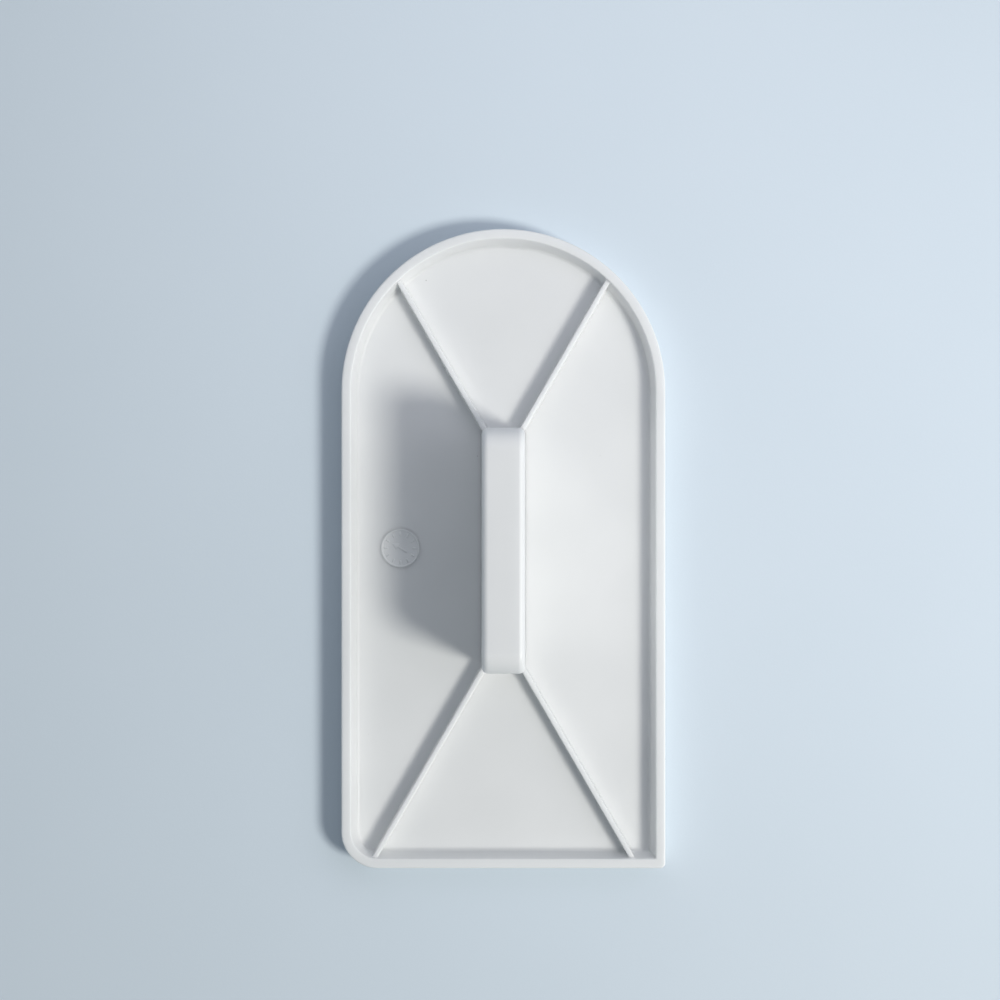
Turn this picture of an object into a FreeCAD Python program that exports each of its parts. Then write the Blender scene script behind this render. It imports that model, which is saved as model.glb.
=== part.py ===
import FreeCAD
import Part
import math
import os

# Icing smoother: a D-shaped polishing plate with a hollow handle snapped onto it.
# Millimetres. +Z is up and the sole lies on Z = 0. +Y points to the round end and
# +X to the long straight edge. The origin is under the middle of the plate.

Vector = FreeCAD.Vector

# Plate
PLATE_LENGTH = 150.0
PLATE_WIDTH = 76.0  # also the diameter of the round end
PLATE_THICKNESS = 2.5
ROUND_CORNER_RADIUS = 8.5  # at -X of the straight end
SHARP_CORNER_RADIUS = 1.2  # at +X of the straight end
SOLE_EDGE_RADIUS = 0.4

# Rim round the plate's upper face
RIM_HEIGHT = 4.8  # above the plate
RIM_THICKNESS = 2.2  # at its top
RIM_DRAFT_ANGLE = 14.0  # degrees that its inner wall leans out
RIM_OUTER_RADIUS = 0.35
RIM_INNER_CHAMFER = 0.15
RIM_FOOT_RADIUS = 0.9  # inside, where the rim rises from the plate

# Ribs from the handle's corners to the rim
RIB_ANGLE = 30.0  # degrees from the plate's length
RIB_TOP_THICKNESS = 1.15
RIB_FOOT_THICKNESS = 1.3
RIB_TOP_RADIUS = 0.25
RIB_FOOT_RADIUS = 0.25
RIB_STEP_DOWN = 0.8  # from the rim's top to the ribs' tops
RIB_ROOT_SIDE_INSET = 1.2  # from the handle's long sides to where a rib's middle line starts
RIB_ROOT_END_INSET = 0.8  # and from its ends

# Handle, with its length and width measured at its foot on the plate
HANDLE_LENGTH = 56.0
HANDLE_WIDTH = 10.4
HANDLE_HEIGHT = 30.0  # above the plate
HANDLE_DRAFT_ANGLE = 0.75  # degrees that each side leans in
HANDLE_END_RADIUS = 5.0  # top corners in side view
HANDLE_EDGE_RADIUS = 1.4  # round each flank
HANDLE_WALL = 1.9
WEB_COUNT = 2
WEB_THICKNESS = 1.4

# Spigot on the plate, which the handle's open foot goes over, and its snap ridges
SPIGOT_HEIGHT = 6.0
SPIGOT_WALL = 1.5
SPIGOT_LEAD_IN = 0.4
SNAP_HEIGHT = 3.6  # middle of the ridges above the plate
SNAP_LENGTH = 18.0
SNAP_RADIUS = 0.6
SNAP_DEPTH = 0.35  # that the ridges stand out of the spigot

# Clearances between the two mouldings
SPIGOT_CLEARANCE = 0.15
RIB_CLEARANCE = 0.2
WEB_CLEARANCE = 0.6

# A rounding takes at most this share of the wall or corner that it is on
ROUNDING_SHARE = 0.8
# Lengths below this count as nothing
TOLERANCE = 1e-4

RIM_TOP = PLATE_THICKNESS + RIM_HEIGHT
RIM_DRAFT = math.tan(math.radians(RIM_DRAFT_ANGLE))
HANDLE_TOP = PLATE_THICKNESS + HANDLE_HEIGHT
HANDLE_DRAFT = math.tan(math.radians(HANDLE_DRAFT_ANGLE))


def rounded_outline(corners):
    """Closed wire through (point, radius) corners, each rounded by a tangent arc."""
    arcs = []
    for index, (corner, radius) in enumerate(corners):
        back = (corners[index - 1][0] - corner).normalize()
        ahead = (corners[(index + 1) % len(corners)][0] - corner).normalize()
        half_angle = back.getAngle(ahead) / 2
        reach = radius / math.tan(half_angle)
        to_arc = radius / math.sin(half_angle) - radius
        middle = corner + (back + ahead).normalize() * to_arc
        arcs.append((corner + back * reach, middle, corner + ahead * reach))
    edges = []
    for index, (start, middle, end) in enumerate(arcs):
        if start.distanceToPoint(end) > TOLERANCE:
            edges.append(Part.Arc(start, middle, end).toShape())
        following = arcs[(index + 1) % len(arcs)][0]
        if end.distanceToPoint(following) > TOLERANCE:
            edges.append(Part.LineSegment(end, following).toShape())
    return Part.Wire(edges)


def prism(outline, direction):
    """Solid swept straight from a closed outline."""
    return Part.Face(outline).extrude(direction)


def edges_at(shape, z):
    """Edges of the shape that lie wholly at height z."""
    return [edge for edge in shape.Edges
            if abs(edge.BoundBox.ZMin - z) < TOLERANCE and abs(edge.BoundBox.ZMax - z) < TOLERANCE]


def limited(radius, *walls):
    """The radius, or the share of the thinnest wall that a rounding may take if that is less."""
    return min([radius] + [wall * ROUNDING_SHARE for wall in walls if wall > TOLERANCE])


def plate_outline(inset, z, sharp_radius=SHARP_CORNER_RADIUS):
    """The plate's D outline, drawn in by inset: half round at +Y, one corner round, one sharp."""
    side = PLATE_WIDTH / 2 - inset
    end = PLATE_LENGTH / 2 - inset
    return rounded_outline([
        (Vector(side, end, z), side),
        (Vector(-side, end, z), side),
        (Vector(-side, -end, z), max(ROUND_CORNER_RADIUS - inset, 0)),
        (Vector(side, -end, z), max(sharp_radius - inset, 0)),
    ])


def rim_inset(z):
    """How far in from the plate's edge the rim's inner wall is at height z."""
    return RIM_THICKNESS + (RIM_TOP - z) * RIM_DRAFT


def plate_and_rim():
    """The flat plate with its raised rim, before ribs and spigot."""
    outer_corner = min(ROUND_CORNER_RADIUS, SHARP_CORNER_RADIUS)
    inner_corner = ROUND_CORNER_RADIUS - rim_inset(PLATE_THICKNESS)
    outer_radius = limited(RIM_OUTER_RADIUS, RIM_THICKNESS / 2, outer_corner)
    inner_chamfer = limited(RIM_INNER_CHAMFER, RIM_THICKNESS - outer_radius)
    sole_radius = limited(SOLE_EDGE_RADIUS, PLATE_THICKNESS, outer_corner)
    foot_radius = limited(RIM_FOOT_RADIUS, RIM_HEIGHT, inner_corner)

    body = prism(plate_outline(0, 0), Vector(0, 0, RIM_TOP))
    body = body.makeFillet(outer_radius, edges_at(body, RIM_TOP))
    body = body.makeFillet(sole_radius, edges_at(body, 0))

    levels = (PLATE_THICKNESS, RIM_TOP + RIM_THICKNESS)
    tray = Part.makeLoft([plate_outline(rim_inset(z), z, 0) for z in levels], True, True)
    tray = tray.makeFillet(foot_radius, edges_at(tray, PLATE_THICKNESS))
    body = body.cut(tray)

    mouth = plate_outline(RIM_THICKNESS, RIM_TOP, 0)
    mouth_edges = [edge for edge in edges_at(body, RIM_TOP) if edge.distToShape(mouth)[0] < TOLERANCE]
    return body.makeChamfer(inner_chamfer, mouth_edges)


def rib_section():
    """Across one rib: drafted sides, rounded top, and a flared foot that lies flush with the plate."""
    height = RIM_HEIGHT - RIB_STEP_DOWN
    half_top = RIB_TOP_THICKNESS / 2
    half_foot = RIB_FOOT_THICKNESS / 2
    half_flare = half_foot + RIB_FOOT_RADIUS * 2
    top_radius = limited(RIB_TOP_RADIUS, half_top)
    sunk = -PLATE_THICKNESS / 2
    right = [
        (Vector(half_flare, 0, sunk), 0),
        (Vector(half_flare, 0, 0), 0),
        (Vector(half_foot, 0, 0), RIB_FOOT_RADIUS),
        (Vector(half_top, 0, height), top_radius),
    ]
    left = [(Vector(-point.x, 0, point.z), radius) for point, radius in reversed(right)]
    return rounded_outline(right + left)


def rib(side_x, side_y):
    """One rib, from the handle's corner to the rim. side_x and side_y, each 1 or -1, pick the corner."""
    blade = prism(rib_section(), Vector(0, PLATE_LENGTH, 0))
    blade.translate(Vector(0, -HANDLE_WIDTH / 2, 0))
    outward = 0 if side_y > 0 else 180
    blade.rotate(Vector(0, 0, 0), Vector(0, 0, 1), outward - side_x * side_y * RIB_ANGLE)
    blade.translate(Vector(
        side_x * (HANDLE_WIDTH / 2 - RIB_ROOT_SIDE_INSET),
        side_y * (HANDLE_LENGTH / 2 - RIB_ROOT_END_INSET),
        PLATE_THICKNESS,
    ))
    within_rim = prism(plate_outline(RIM_THICKNESS / 2, 0), Vector(0, 0, RIM_TOP))
    return blade.common(within_rim).cut(handle_block(RIB_CLEARANCE))


def handle_half_width(inset, z):
    """Half the handle's width at height z, less inset."""
    return HANDLE_WIDTH / 2 - inset - (z - PLATE_THICKNESS) * HANDLE_DRAFT


def handle_half_length(inset, z):
    """Half the handle's length at height z, less inset."""
    return HANDLE_LENGTH / 2 - inset - (z - PLATE_THICKNESS) * HANDLE_DRAFT


def handle_core(inset):
    """The handle's drafted form with sharp flanks, drawn in by inset everywhere but at its flat foot."""
    foot = PLATE_THICKNESS
    top = HANDLE_TOP - inset
    end_radius = max(HANDLE_END_RADIUS - inset, 0)
    side_view = rounded_outline([
        (Vector(-HANDLE_WIDTH, -handle_half_length(inset, foot), foot), 0),
        (Vector(-HANDLE_WIDTH, handle_half_length(inset, foot), foot), 0),
        (Vector(-HANDLE_WIDTH, handle_half_length(inset, top), top), end_radius),
        (Vector(-HANDLE_WIDTH, -handle_half_length(inset, top), top), end_radius),
    ])
    end_view = rounded_outline([
        (Vector(-handle_half_width(inset, foot), -HANDLE_LENGTH, foot), 0),
        (Vector(handle_half_width(inset, foot), -HANDLE_LENGTH, foot), 0),
        (Vector(handle_half_width(inset, top), -HANDLE_LENGTH, top), 0),
        (Vector(-handle_half_width(inset, top), -HANDLE_LENGTH, top), 0),
    ])
    along_x = prism(side_view, Vector(HANDLE_WIDTH * 2, 0, 0))
    along_y = prism(end_view, Vector(0, HANDLE_LENGTH * 2, 0))
    return along_x.common(along_y)


def handle_block(growth):
    """The handle's outside, grown by growth, with the edges round each flank rounded."""
    block = handle_core(-growth)
    left_flank = min(block.Faces, key=lambda face: face.CenterOfMass.x)
    right_flank = max(block.Faces, key=lambda face: face.CenterOfMass.x)
    flank_edges = [edge for edge in left_flank.Edges + right_flank.Edges
                   if edge.BoundBox.ZMax > PLATE_THICKNESS + TOLERANCE]
    edge_radius = limited(HANDLE_EDGE_RADIUS + growth, handle_half_width(-growth, HANDLE_TOP))
    return block.makeFillet(edge_radius, flank_edges)


def snap_ridges(growth):
    """The half-round ridges on the spigot's two long sides, grown by growth for their grooves."""
    z = PLATE_THICKNESS + SNAP_HEIGHT
    face = handle_half_width(HANDLE_WALL + SPIGOT_CLEARANCE, z)
    length = SNAP_LENGTH + growth * 2
    ridges = []
    for side_x in (-1, 1):
        start = Vector(side_x * (face + SNAP_DEPTH - SNAP_RADIUS), -length / 2, z)
        ridges.append(Part.makeCylinder(SNAP_RADIUS + growth, length, start, Vector(0, 1, 0)))
    return ridges


def spigot():
    """The low closed wall that fits inside the handle's foot, with its lead-in and snap ridges."""
    outer_inset = HANDLE_WALL + SPIGOT_CLEARANCE
    low = Part.makeBox(HANDLE_WIDTH, HANDLE_LENGTH, SPIGOT_HEIGHT,
                       Vector(-HANDLE_WIDTH / 2, -HANDLE_LENGTH / 2, PLATE_THICKNESS))
    wall = handle_core(outer_inset).common(low)
    lead_in = limited(SPIGOT_LEAD_IN, SPIGOT_WALL)
    wall = wall.makeChamfer(lead_in, edges_at(wall, PLATE_THICKNESS + SPIGOT_HEIGHT))
    return wall.fuse(snap_ridges(0)).cut(handle_core(outer_inset + SPIGOT_WALL))


def base_plate():
    """Plate, rim, ribs and spigot, which are one moulding."""
    ribs = [rib(side_x, side_y) for side_x in (-1, 1) for side_y in (-1, 1)]
    return plate_and_rim().fuse(ribs + [spigot()]).removeSplitter()


def handle_webs():
    """Cross walls that hold the handle's two flanks apart, from just above the spigot to its top."""
    foot = PLATE_THICKNESS + SPIGOT_HEIGHT + WEB_CLEARANCE
    height = HANDLE_TOP - HANDLE_WALL / 2 - foot
    width = HANDLE_WIDTH - HANDLE_WALL
    spacing = HANDLE_LENGTH / (WEB_COUNT + 1)
    webs = []
    for index in range(WEB_COUNT):
        middle = (index + 1) * spacing - HANDLE_LENGTH / 2
        corner = Vector(-width / 2, middle - WEB_THICKNESS / 2, foot)
        webs.append(Part.makeBox(width, WEB_THICKNESS, height, corner))
    return webs


def handle():
    """The hollow handle: closed on top, open at its foot, with grooves for the snap ridges."""
    shell = handle_block(0).cut(handle_core(HANDLE_WALL))
    return shell.fuse(handle_webs()).cut(snap_ridges(SPIGOT_CLEARANCE)).removeSplitter()


os.makedirs("parts", exist_ok=True)
for name, shape in (("base_plate", base_plate()), ("handle", handle())):
    shape.exportStep("parts/" + name + ".step")
    print(name, "solids", len(shape.Solids), "valid", shape.isValid(), "volume", round(shape.Volume, 1))
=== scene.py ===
# %% [markdown]
# # A white icing smoother
#
# A baker glides this tool over rolled icing to polish it flat. It is two plastic mouldings: a D-shaped
# plate with a rim and ribs, and a hollow handle that snaps onto it. Both come from the CAD frame at their
# real size, so this lesson spends its effort on what the frame lacks: the camera, the light, the skin of
# the plastic, and the small dial that a mould leaves on the tray.

import math

import bmesh
import bpy
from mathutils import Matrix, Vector


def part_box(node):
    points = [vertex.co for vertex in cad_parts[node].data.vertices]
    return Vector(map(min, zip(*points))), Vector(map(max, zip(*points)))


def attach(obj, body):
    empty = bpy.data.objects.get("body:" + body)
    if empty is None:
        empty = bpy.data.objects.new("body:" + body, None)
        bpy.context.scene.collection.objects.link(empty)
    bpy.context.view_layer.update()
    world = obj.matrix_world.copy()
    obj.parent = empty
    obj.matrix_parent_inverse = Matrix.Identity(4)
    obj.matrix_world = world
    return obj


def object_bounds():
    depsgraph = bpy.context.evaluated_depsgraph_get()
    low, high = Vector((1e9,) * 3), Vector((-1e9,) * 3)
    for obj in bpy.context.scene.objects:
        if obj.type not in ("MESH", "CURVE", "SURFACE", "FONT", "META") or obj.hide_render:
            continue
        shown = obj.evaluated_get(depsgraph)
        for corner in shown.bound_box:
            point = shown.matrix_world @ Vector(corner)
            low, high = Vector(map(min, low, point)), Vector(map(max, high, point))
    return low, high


MM = 0.001

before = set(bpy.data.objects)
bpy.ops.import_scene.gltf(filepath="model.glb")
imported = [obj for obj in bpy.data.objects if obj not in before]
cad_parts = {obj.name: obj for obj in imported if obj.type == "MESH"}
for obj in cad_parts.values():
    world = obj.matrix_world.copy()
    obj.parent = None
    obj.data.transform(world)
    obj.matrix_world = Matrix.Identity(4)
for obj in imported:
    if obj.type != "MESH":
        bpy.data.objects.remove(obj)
cad_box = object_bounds()
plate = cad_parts["base_plate"]
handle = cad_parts["handle"]
bpy.ops.object.select_all(action="DESELECT")
box_in_mm = [[round(v / MM, 2) for v in corner] for corner in cad_box]
print("CAD nodes:", sorted(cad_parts), "box in mm:", box_in_mm)

# %% [markdown]
# ## Where things are
#
# Heights are read off the frame and never typed in, so that the camera and every new piece follow the
# mouldings if their sizes change. The tray's floor is the height that the handle stands on. The rim is
# the highest thing on the plate that stands well away from the handle.

# %% Read the levels off the frame
handle_low, handle_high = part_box("handle")
tray_floor = handle_low.z
handle_top = handle_high.z
rim_top = max(v.co.z for v in plate.data.vertices if abs(v.co.x) > 2 * handle_high.x)
levels_in_mm = [round(z / MM, 2) for z in (tray_floor, rim_top, handle_top)]
print("tray floor, rim and handle top in mm:", levels_in_mm)

# %% [markdown]
# ## The camera
#
# The tool is seen from straight above, with its round end at the top. A camera with no rotation looks
# down its own -Z with +Y up, which is just that. At the rim the picture is 234.5 mm wide, and from half a
# metre away the walls show as little of themselves as they should. The plate sits a little low in the
# picture, so the camera stands over a point nearer to the round end.

# %% Add the camera
PICTURE_WIDTH = 234.5 * MM
CAMERA_HEIGHT = 500 * MM
CAMERA_OVER = Vector((-0.8 * MM, 11.4 * MM))
SENSOR_WIDTH = 36.0
NEAREST_SEEN = 10 * MM

camera_place = (CAMERA_OVER.x, CAMERA_OVER.y, rim_top + CAMERA_HEIGHT)
bpy.ops.object.camera_add(location=camera_place, rotation=(0, 0, 0))
camera = bpy.context.object
camera.name = "camera_overhead"
camera.data.sensor_width = SENSOR_WIDTH
camera.data.lens = SENSOR_WIDTH * CAMERA_HEIGHT / PICTURE_WIDTH
camera.data.clip_start = NEAREST_SEEN
bpy.context.scene.camera = camera
print("lens", round(camera.data.lens, 1), "mm")

# %% [markdown]
# ## The light
#
# Shadows tell where a lamp stands. The handle's shadow falls to the left and a little up, about as long
# as the handle is tall, so the main lamp stands on the right, about half way up the sky. How fast the
# shadow's edge blurs says how wide the lamp looks: 14 degrees. A lamp could be set by its watts, but
# those mean little to the eye. This helper asks instead how bright the lamp makes a sheet of white paper
# on the floor, and works the watts out. If the levels of all lamps and the sky add up to a little under
# 1, a colour renders about as it is written.

# %% A lamp set by what it does to white paper
def soft_lamp(name, azimuth, elevation, distance, spread, level, colour):
    """Stand a round lamp off the plate. Angles are in degrees, the azimuth from +X towards +Y."""
    turn, rise, half_spread = (math.radians(angle) for angle in (azimuth, elevation, spread / 2))
    towards = Vector((math.cos(rise) * math.cos(turn), math.cos(rise) * math.sin(turn), math.sin(rise)))
    bpy.ops.object.light_add(type="AREA", location=towards * distance)
    lamp = bpy.context.object
    lamp.name = name
    lamp.rotation_euler = towards.to_track_quat("Z", "Y").to_euler()
    lamp.visible_camera = False
    lamp.data.shape = "DISK"
    lamp.data.size = 2 * distance * math.tan(half_spread)
    lamp.data.color = colour
    brightness = level / (2 * (1 - math.cos(half_spread)) * towards.z)
    lamp.data.energy = brightness * math.pi * math.pi * (lamp.data.size / 2) ** 2
    print(name, round(lamp.data.size, 2), "m across,", round(lamp.data.energy, 1), "W")


# %% [markdown]
# The main lamp is a little warm. It stands 1.2 m off, so its shadows fan out a little over the plate. A
# panel hangs near the round end, which makes that end of the plate the brighter one, and a reflector on
# the right opens the shadows of the ribs.

# %% Add the three lamps
KEY_COLOUR = (1.03, 1.015, 0.955)
PANEL_COLOUR = (0.97, 0.965, 1.065)

soft_lamp(
    "main_lamp", azimuth=-25, elevation=48.8,
    distance=1.2, spread=14, level=0.450, colour=KEY_COLOUR,
)
soft_lamp(
    "round_end_panel", azimuth=90, elevation=48,
    distance=0.22, spread=60, level=0.102, colour=PANEL_COLOUR,
)
soft_lamp(
    "right_reflector", azimuth=10, elevation=45,
    distance=0.30, spread=50, level=0.112, colour=PANEL_COLOUR,
)

# %% [markdown]
# ## Building with nodes
#
# The sky and the materials are trees of nodes, and wiring one by hand takes a line for every socket. This
# helper adds a node, sets its options, and fills its inputs: a plain value is written into the socket,
# and another node's output is linked to it. A second helper does sums, and a third makes noise with
# features of a given size in metres.

# %% Helpers for node trees
NOISE_RANGE = (0.3, 0.7)  # nearly all of a noise lies between these


def put(tree, kind, inputs, **options):
    """Add a node to a tree, then fill each named input with a value or a link."""
    node = tree.nodes.new(kind)
    for option, value in options.items():
        setattr(node, option, value)
    for name, value in inputs.items():
        if isinstance(value, bpy.types.NodeSocket):
            tree.links.new(value, node.inputs[name])
        else:
            node.inputs[name].default_value = value
    return node


def work_out(tree, operation, first, second):
    return put(tree, "ShaderNodeMath", {0: first, 1: second}, operation=operation).outputs[0]


def noise(tree, place, size, detail):
    inputs = {"Vector": place, "Scale": work_out(tree, "DIVIDE", 1.0, size), "Detail": detail}
    return put(tree, "ShaderNodeTexNoise", inputs).outputs["Fac"]


def remap(tree, value, low, high, low_to=0.0, high_to=1.0):
    """Turn low..high into low_to..high_to, and hold the ends."""
    limits = {"Value": value, "From Min": low, "From Max": high, "To Min": low_to, "To Max": high_to}
    return put(tree, "ShaderNodeMapRange", limits).outputs["Result"]


def blend_colour(tree, share, first, second):
    sockets = {0: share, 6: first, 7: second}  # a Mix node keeps its colours in these
    return put(tree, "ShaderNodeMix", sockets, data_type="RGBA").outputs[2]


def start_group(name, inputs, outputs):
    """Begin a node group of numbers, with one vector input that is named Place."""
    group = bpy.data.node_groups.new(name, "ShaderNodeTree")
    group.interface.new_socket("Place", in_out="INPUT", socket_type="NodeSocketVector")
    for socket in inputs:
        group.interface.new_socket(socket, in_out="INPUT", socket_type="NodeSocketFloat")
    for socket in outputs:
        group.interface.new_socket(socket, in_out="OUTPUT", socket_type="NodeSocketFloat")
    return group, group.nodes.new("NodeGroupInput").outputs, group.nodes.new("NodeGroupOutput").inputs


# %% [markdown]
# ## The sky
#
# The sky gives the rest of the light, from all sides and a little blue. It would look dull as a
# background, so rays that come straight from the camera, or from a mirror-like reflection, see a pale
# wall instead. The light on the object stays the same.

# %% Add the sky and the pale wall
SKY_COLOUR = (0.89, 1.0, 1.11, 1)
SKY_LEVEL = 0.214
WALL_COLOUR = (0.62, 0.69, 0.75, 1)

world = bpy.data.worlds.new("even_sky")
bpy.context.scene.world = world
world.use_nodes = True
air = world.node_tree
sky = air.nodes["Background"]
sky.inputs["Color"].default_value = SKY_COLOUR
sky.inputs["Strength"].default_value = SKY_LEVEL
wall = put(air, "ShaderNodeBackground", {"Color": WALL_COLOUR})
rays = put(air, "ShaderNodeLightPath", {}).outputs
straight_or_glossy = work_out(air, "MAXIMUM", rays["Is Camera Ray"], rays["Is Glossy Ray"])
clear_view = work_out(air, "MAXIMUM", straight_or_glossy, rays["Is Transmission Ray"])
chosen = put(air, "ShaderNodeMixShader", {"Fac": clear_view, 1: sky.outputs[0], 2: wall.outputs[0]})
air.links.new(chosen.outputs[0], air.nodes["World Output"].inputs["Surface"])
bpy.context.scene.view_settings.view_transform = "Standard"
print("sky level", SKY_LEVEL)

# %% [markdown]
# ## The floor
#
# The tool lies on pale blue-grey paper. Paper has a fine tooth and a slow unevenness of tone. Both are
# smaller than the tool, so two noises are enough: one for the bump and the tone of the fibres, one for
# the clouds. The lamps stand near, so paper far from the tool would be dark in a low view. It fades out
# into the pale wall instead.

# %% Lay the paper
FLOOR_SIZE = 2.0
FLOOR_DROP = 0.02 * MM
PAPER_LIGHT = (0.70, 0.78, 0.85, 1)
PAPER_DARK = (0.66, 0.745, 0.815, 1)
FIBRE_SIZE = 0.5 * MM
FIBRE_DEPTH = 0.012 * MM
PAPER_CLOUD_SIZE = 40 * MM
PAPER_SHEEN = 0.25
PAPER_ROUGHNESS = (0.8, 0.95)
PAPER_FADE = (300 * MM, 1000 * MM)

bpy.ops.mesh.primitive_plane_add(size=FLOOR_SIZE, location=(0, 0, -FLOOR_DROP))
floor = bpy.context.object
floor.name = "floor"
paper = bpy.data.materials.new("pale_paper")
paper.use_nodes = True
tree = paper.node_tree
place = put(tree, "ShaderNodeTexCoord", {}).outputs["Object"]
fibres = noise(tree, place, FIBRE_SIZE, detail=3.0)
clouds = noise(tree, place, PAPER_CLOUD_SIZE, detail=2.0)
tone = work_out(tree, "DIVIDE", work_out(tree, "ADD", fibres, clouds), 2.0)
tooth = put(tree, "ShaderNodeBump", {"Height": fibres, "Distance": FIBRE_DEPTH, "Strength": 1.0})
shader = tree.nodes["Principled BSDF"]
shader.inputs["Specular IOR Level"].default_value = PAPER_SHEEN
tree.links.new(blend_colour(tree, tone, PAPER_DARK, PAPER_LIGHT), shader.inputs["Base Color"])
tree.links.new(remap(tree, fibres, *NOISE_RANGE, *PAPER_ROUGHNESS), shader.inputs["Roughness"])
tree.links.new(tooth.outputs["Normal"], shader.inputs["Normal"])
reach = put(tree, "ShaderNodeVectorMath", {0: place}, operation="LENGTH").outputs["Value"]
tree.links.new(remap(tree, reach, *PAPER_FADE, 1.0, 0.0), shader.inputs["Alpha"])
floor.data.materials.append(paper)
print("floor", FLOOR_SIZE, "m wide with", len(tree.nodes), "nodes of paper")

# %% [markdown]
# ## The skin of a moulding
#
# Plastic takes the surface of its steel mould. Fine spark erosion leaves a satin grain of about a third
# of a millimetre. Under it lies a slow waviness, a centimetre or two long, from the way that the melt
# cools, and the white is not quite even for the same reason. A grain could be modelled, but it is a few
# thousandths of a millimetre deep, so it goes into the bump. Both mouldings have it, so it is a node
# group. Depths are in metres, and the height that comes out is a real height.

# %% Group: moulded skin
skin_group, given, result = start_group(
    "moulded_skin",
    ("Grain Size", "Grain Depth", "Wave Size", "Wave Depth"),
    ("Height", "Cloud"),
)
grain = noise(skin_group, given["Place"], given["Grain Size"], detail=1.0)
wave = noise(skin_group, given["Place"], given["Wave Size"], detail=0.5)
grain_height = work_out(skin_group, "MULTIPLY", grain, given["Grain Depth"])
wave_height = work_out(skin_group, "MULTIPLY", wave, given["Wave Depth"])
skin_group.links.new(work_out(skin_group, "ADD", grain_height, wave_height), result["Height"])
skin_group.links.new(remap(skin_group, wave, *NOISE_RANGE), result["Cloud"])
print("moulded_skin:", len(skin_group.nodes), "nodes")

# %% [markdown]
# ## Marks of handling
#
# White plastic that has been wiped and stacked shows hairline scuffs in patches, and a few dark specks
# that were in the melt. A hairline is noise that is stretched 36 times along one way and cut off near its
# peaks. Two sets that cross look like wiping. A second, wide noise lets them through only in patches. A
# speck is the middle of a Voronoi cell, and half of the cells show theirs. The group gives masks, and
# each material decides what a scuff or a speck does to it.

# %% Group: handling marks
HAIR_WIDTH = 0.25 * MM
HAIR_LENGTH = 9 * MM
HAIR_TURNS = (math.radians(25), math.radians(-50))
HAIR_CUT = (0.62, 0.72)
PATCH_CUT = (0.45, 0.65)
SPECK_ROOM = 7 * MM
SPECK_RADIUS = 0.16 * MM
SPECK_SHARE = 0.5

marks_group, given, result = start_group("handling_marks", ("Patch Size",), ("Scuffs", "Specks"))
hairs = 0.0
for turn in HAIR_TURNS:
    stretched = put(marks_group, "ShaderNodeMapping", {
        "Vector": given["Place"],
        "Rotation": (0, 0, turn),
        "Scale": (1 / HAIR_WIDTH, 1 / HAIR_LENGTH, 1 / HAIR_WIDTH),
    }).outputs["Vector"]
    peaks = remap(marks_group, noise(marks_group, stretched, size=1.0, detail=1.0), *HAIR_CUT)
    hairs = work_out(marks_group, "MAXIMUM", hairs, peaks)
wide_noise = noise(marks_group, given["Place"], given["Patch Size"], detail=2.0)
patches = remap(marks_group, wide_noise, *PATCH_CUT)
marks_group.links.new(work_out(marks_group, "MULTIPLY", hairs, patches), result["Scuffs"])

cells = put(marks_group, "ShaderNodeTexVoronoi", {"Vector": given["Place"], "Scale": 1 / SPECK_ROOM})
speck_edge = SPECK_RADIUS / SPECK_ROOM
middles = remap(marks_group, cells.outputs["Distance"], speck_edge, speck_edge / 2)
lottery = put(marks_group, "ShaderNodeSeparateColor", {"Color": cells.outputs["Color"]}).outputs["Red"]
drawn = work_out(marks_group, "LESS_THAN", lottery, SPECK_SHARE)
marks_group.links.new(work_out(marks_group, "MULTIPLY", middles, drawn), result["Specks"])
print("handling_marks:", len(marks_group.nodes), "nodes")

# %% [markdown]
# ## The white plastic
#
# White plastic is not paint. Light goes a millimetre or two into it and comes out again nearby, which
# lifts the narrow shadows beside the ribs and makes the rim glow where the lamp shines into its wall.
# That is what the Subsurface sockets are for. They are the same all over, so they are set on the shader
# itself. What both mouldings share is made by three short functions: two close whites in clouds, a few
# specks, the bump of the skin, and the scuffs.

# %% What both mouldings share
WHITE_LIGHT = (0.812, 0.818, 0.816, 1)
WHITE_DARK = (0.790, 0.797, 0.796, 1)
SPECK_COLOUR = (0.42, 0.41, 0.39, 1)
PLASTIC_IOR = 1.49
LIGHT_REACH = 1.8 * MM
SCUFF_ROUGHNESS = 0.12


def start_white_plastic(name, patch_size, glow=1.0):
    """Begin a white plastic; its skin and roughness are wired by the caller."""
    material = bpy.data.materials.new(name)
    material.use_nodes = True
    tree = material.node_tree
    place = put(tree, "ShaderNodeTexCoord", {}).outputs["Object"]
    marks = put(tree, "ShaderNodeGroup", {"Place": place, "Patch Size": patch_size}, node_tree=marks_group)
    shader = tree.nodes["Principled BSDF"]
    shader.inputs["IOR"].default_value = PLASTIC_IOR
    shader.inputs["Subsurface Weight"].default_value = glow
    shader.inputs["Subsurface Radius"].default_value = (1, 1, 1)
    shader.inputs["Subsurface Scale"].default_value = LIGHT_REACH
    return material, tree, place, marks.outputs, shader


def add_skin(tree, place, values, specks, shader):
    """Wire the colour and the bump of a moulded skin, and give its cloud back."""
    skin = put(tree, "ShaderNodeGroup", values | {"Place": place}, node_tree=skin_group).outputs
    white = blend_colour(tree, skin["Cloud"], WHITE_DARK, WHITE_LIGHT)
    tree.links.new(blend_colour(tree, specks, white, SPECK_COLOUR), shader.inputs["Base Color"])
    bump = put(tree, "ShaderNodeBump", {"Height": skin["Height"], "Distance": 1.0, "Strength": 1.0})
    tree.links.new(bump.outputs["Normal"], shader.inputs["Normal"])
    return skin["Cloud"]


def add_scuffs(tree, roughness, scuffs, shader):
    """Wire the roughness, raised where hairlines dull the skin."""
    dulled = work_out(tree, "MULTIPLY", scuffs, SCUFF_ROUGHNESS)
    tree.links.new(work_out(tree, "ADD", roughness, dulled), shader.inputs["Roughness"])


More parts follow.
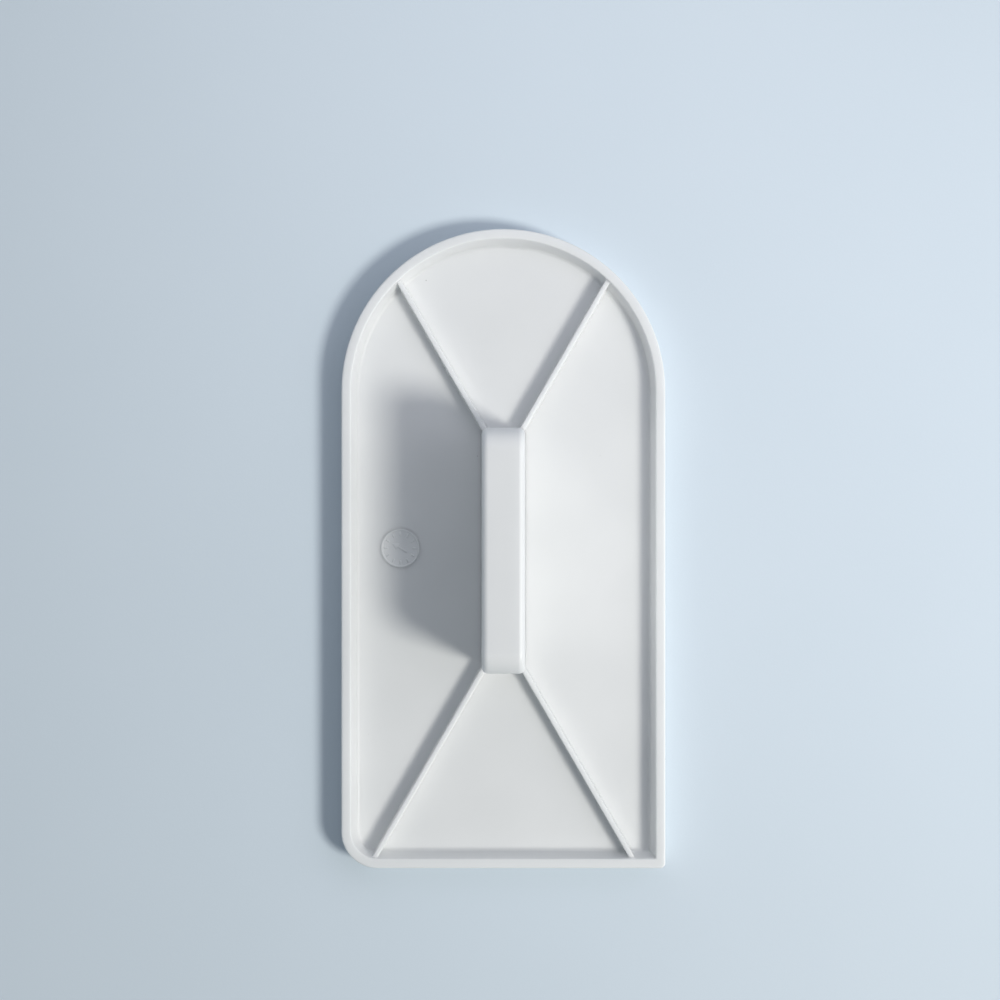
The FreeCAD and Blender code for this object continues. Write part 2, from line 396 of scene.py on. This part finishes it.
# %% [markdown]
# ## The plate's finish
#
# The tray side is satin, but the sole is the working face: its half of the mould is polished, so that it
# leaves a shine on the icing. The two could be two materials, but a CAD node keeps its one slot, so the
# height above the sole tells them apart. The sole loses its grain and most of its roughness, and its
# scuffs show.

# %% Finish the plate
SOLE_REACH = (0.15 * MM, 0.6 * MM)
SATIN_ROUGHNESS = (0.38, 0.46)
SOLE_ROUGHNESS = 0.13
PLATE_PATCH_SIZE = 22 * MM
PLATE_GRAIN_DEPTH = 0.004 * MM
PLATE_SKIN = {"Grain Size": 0.35 * MM, "Wave Size": 16 * MM, "Wave Depth": 0.03 * MM}

plate_plastic, tree, place, marks, shader = start_white_plastic("plate_satin_white", PLATE_PATCH_SIZE)
height = put(tree, "ShaderNodeSeparateXYZ", {"Vector": place}).outputs["Z"]
satin = remap(tree, height, *SOLE_REACH)
grain_depth = work_out(tree, "MULTIPLY", satin, PLATE_GRAIN_DEPTH)
cloud = add_skin(tree, place, PLATE_SKIN | {"Grain Depth": grain_depth}, marks["Specks"], shader)
satin_roughness = remap(tree, cloud, 0.0, 1.0, *SATIN_ROUGHNESS)
clean = remap(tree, satin, 0.0, 1.0, SOLE_ROUGHNESS, satin_roughness)
add_scuffs(tree, clean, marks["Scuffs"], shader)
plate.material_slots[0].material = plate_plastic
print("plate finish:", len(tree.nodes), "nodes")

# %% [markdown]
# ## The handle's finish
#
# The handle has the same satin, from a mould of its own, so its grain and waves have their own sizes.
# Fingers rub its upper part a little shinier than its foot. The rubbing follows the height, broken up by
# the cloud so that it has no hard line.

# %% Finish the handle
RUBBED_FROM = 0.35
RUBBED_ROUGHNESS = 0.30
HANDLE_SATIN = 0.43
MOST_RUBBED = 0.8
HANDLE_PATCH_SIZE = 14 * MM
HANDLE_SKIN = {
    "Grain Size": 0.3 * MM,
    "Grain Depth": 0.004 * MM,
    "Wave Size": 11 * MM,
    "Wave Depth": 0.02 * MM,
}

handle_plastic, tree, place, marks, shader = start_white_plastic("handle_satin_white", HANDLE_PATCH_SIZE)
cloud = add_skin(tree, place, HANDLE_SKIN, marks["Specks"], shader)
height = put(tree, "ShaderNodeSeparateXYZ", {"Vector": place}).outputs["Z"]
upper_part = remap(tree, height, RUBBED_FROM * handle_top, handle_top)
rubbed = work_out(tree, "MULTIPLY", upper_part, cloud)
satin_roughness = remap(tree, rubbed, 0.0, MOST_RUBBED, HANDLE_SATIN, RUBBED_ROUGHNESS)
add_scuffs(tree, satin_roughness, marks["Scuffs"], shader)
handle.material_slots[0].material = handle_plastic
print("handle finish:", len(tree.nodes), "nodes")

# %% [markdown]
# ## The moulding dial
#
# Beside the handle the tray has a small raised dial: a ring with twelve ticks and an arrow, which a mould
# maker turns to show when a part was made. Its lines are under half a millimetre wide and stand a quarter
# of a millimetre proud. A bump would look flat from the side, so it is modelled. The ring starts as a
# disc that is sunk a little into the plate. Its top face is inset by the width of a line, and the inner
# face is pushed down to a thin pad.

# %% Turn the ring
DIAL_MIDDLE = Vector((-24.4 * MM, 0.0, tray_floor))
DIAL_RADIUS = 4.6 * MM
LINE_WIDTH = 0.42 * MM
LINE_HEIGHT = 0.25 * MM
PAD_HEIGHT = 0.05 * MM
SUNK = 0.1 * MM
LINE_ROUNDING = 0.08 * MM
RING_SIDES = 96
FACING = 0.9  # a face looks one way if this much of its normal does
BAR_DEPTH = LINE_HEIGHT + SUNK
BAR_RAISE = Vector((0, 0, (LINE_HEIGHT - SUNK) / 2))


def edit_faces(piece, wanted):
    """Go into edit mode with only the faces selected whose normal is wanted."""
    bpy.ops.object.mode_set(mode="EDIT")
    bpy.ops.mesh.select_mode(type="FACE")
    bpy.ops.mesh.select_all(action="DESELECT")
    for face in bmesh.from_edit_mesh(piece.data).faces:
        face.select_set(wanted(face.normal))
    bmesh.update_edit_mesh(piece.data)


def round_lines(piece):
    """Leave edit mode and take the sharpness off the edges, as a mould cutter does."""
    bpy.ops.object.mode_set(mode="OBJECT")
    rounding = piece.modifiers.new("rounding", "BEVEL")
    rounding.width = LINE_ROUNDING
    rounding.segments = 2
    rounding.limit_method = "ANGLE"
    bpy.ops.object.modifier_apply(modifier=rounding.name)


bpy.ops.mesh.primitive_cylinder_add(
    vertices=RING_SIDES, radius=DIAL_RADIUS, depth=BAR_DEPTH, location=DIAL_MIDDLE + BAR_RAISE
)
ring = bpy.context.object
edit_faces(ring, lambda normal: normal.z > FACING)
bpy.ops.mesh.inset(thickness=LINE_WIDTH)
bpy.ops.mesh.extrude_region_move(TRANSFORM_OT_translate={"value": (0, 0, PAD_HEIGHT - LINE_HEIGHT)})
round_lines(ring)
print("ring:", len(ring.data.polygons), "faces")

# %% [markdown]
# A tick is a short bar inside the ring. Its top is narrowed, because a mould's walls lean so that the
# part lets go. One tick is modelled, then copied round the dial. Each copy is made from the last and
# turned by a twelfth, about the dial's middle.

# %% Cut the ticks
TICK_COUNT = 12
TICK_WIDTH = 0.42 * MM
TICK_LENGTH = 0.95 * MM
TICK_RADIUS = 3.35 * MM
TICK_DRAFT = (0.8, 0.9, 1)

bpy.ops.object.select_all(action="DESELECT")
bpy.ops.mesh.primitive_cube_add(
    size=1,
    location=DIAL_MIDDLE + BAR_RAISE + Vector((0, TICK_RADIUS, 0)),
    scale=(TICK_WIDTH, TICK_LENGTH, BAR_DEPTH),
)
ticks = [bpy.context.object]
bpy.ops.object.transform_apply(location=False, rotation=False, scale=True)
edit_faces(ticks[0], lambda normal: normal.z > FACING)
bpy.ops.transform.resize(value=TICK_DRAFT, center_override=ticks[0].location)
round_lines(ticks[0])
for _ in range(TICK_COUNT - 1):
    bpy.ops.object.duplicate(linked=False)
    bpy.ops.transform.rotate(value=math.tau / TICK_COUNT, orient_axis="Z", center_override=DIAL_MIDDLE)
    ticks.append(bpy.context.object)
print(len(ticks), "ticks,", len(ticks[0].data.polygons), "faces each")

# %% [markdown]
# The arrow starts as a three-sided prism, which is its head. The face at the back of the head is extruded
# on the spot, narrowed to the width of a line, and extruded again for the shaft. Then the arrow is turned
# to one of the ticks.

# %% Cut the arrow
HEAD_RADIUS = 0.95 * MM
HEAD_FORWARD = 1.2 * MM
SHAFT_LENGTH = 2.6 * MM
ARROW_TURN = -math.tau / 6

bpy.ops.object.select_all(action="DESELECT")
bpy.ops.mesh.primitive_cylinder_add(
    vertices=3,
    radius=HEAD_RADIUS,
    depth=BAR_DEPTH,
    location=DIAL_MIDDLE + BAR_RAISE + Vector((0, HEAD_FORWARD, 0)),
)
arrow = bpy.context.object
edit_faces(arrow, lambda normal: normal.y < -FACING)
bpy.ops.mesh.extrude_region_move(TRANSFORM_OT_translate={"value": (0, 0, 0)})
head_width = math.sqrt(3) * HEAD_RADIUS
bpy.ops.transform.resize(value=(LINE_WIDTH / head_width, 1, 1), center_override=arrow.location)
bpy.ops.mesh.extrude_region_move(TRANSFORM_OT_translate={"value": (0, -SHAFT_LENGTH, 0)})
round_lines(arrow)
bpy.ops.transform.rotate(value=ARROW_TURN, orient_axis="Z", center_override=DIAL_MIDDLE)
print("arrow:", len(arrow.data.polygons), "faces")

# %% [markdown]
# The dial is a thin shell that lies in the plate. Light that goes into a thin shell is lost in it, and it
# would look grey, so the dial gets the plate's white and the plate's skin without the glow.

# %% Finish the dial
dial_plastic, tree, place, marks, shader = start_white_plastic(
    "dial_satin_white", PLATE_PATCH_SIZE, glow=0.0
)
cloud = add_skin(tree, place, PLATE_SKIN | {"Grain Depth": PLATE_GRAIN_DEPTH}, marks["Specks"], shader)
tree.links.new(remap(tree, cloud, 0.0, 1.0, *SATIN_ROUGHNESS), shader.inputs["Roughness"])
print("dial finish:", len(tree.nodes), "nodes")

# %% [markdown]
# Ring, ticks and arrow are one relief on the plate, so they are joined into one piece. Its place is
# applied to the mesh, and the piece rides on the plate's body.

# %% Join the dial
SMOOTH_BELOW = math.radians(30)

bpy.ops.object.select_all(action="DESELECT")
for part in (ring, arrow, *ticks):
    part.select_set(True)
bpy.context.view_layer.objects.active = ring
bpy.ops.object.join()
bpy.ops.object.transform_apply(location=True, rotation=True, scale=True)
bpy.ops.object.shade_smooth_by_angle(angle=SMOOTH_BELOW)
dial = bpy.context.object
dial.name = "moulding_dial"
dial.data.materials.append(dial_plastic)
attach(dial, "root")
dial_top = max(v.co.z for v in dial.data.vertices)
print("dial:", len(dial.data.polygons), "faces, top at", round(dial_top / MM, 2), "mm")
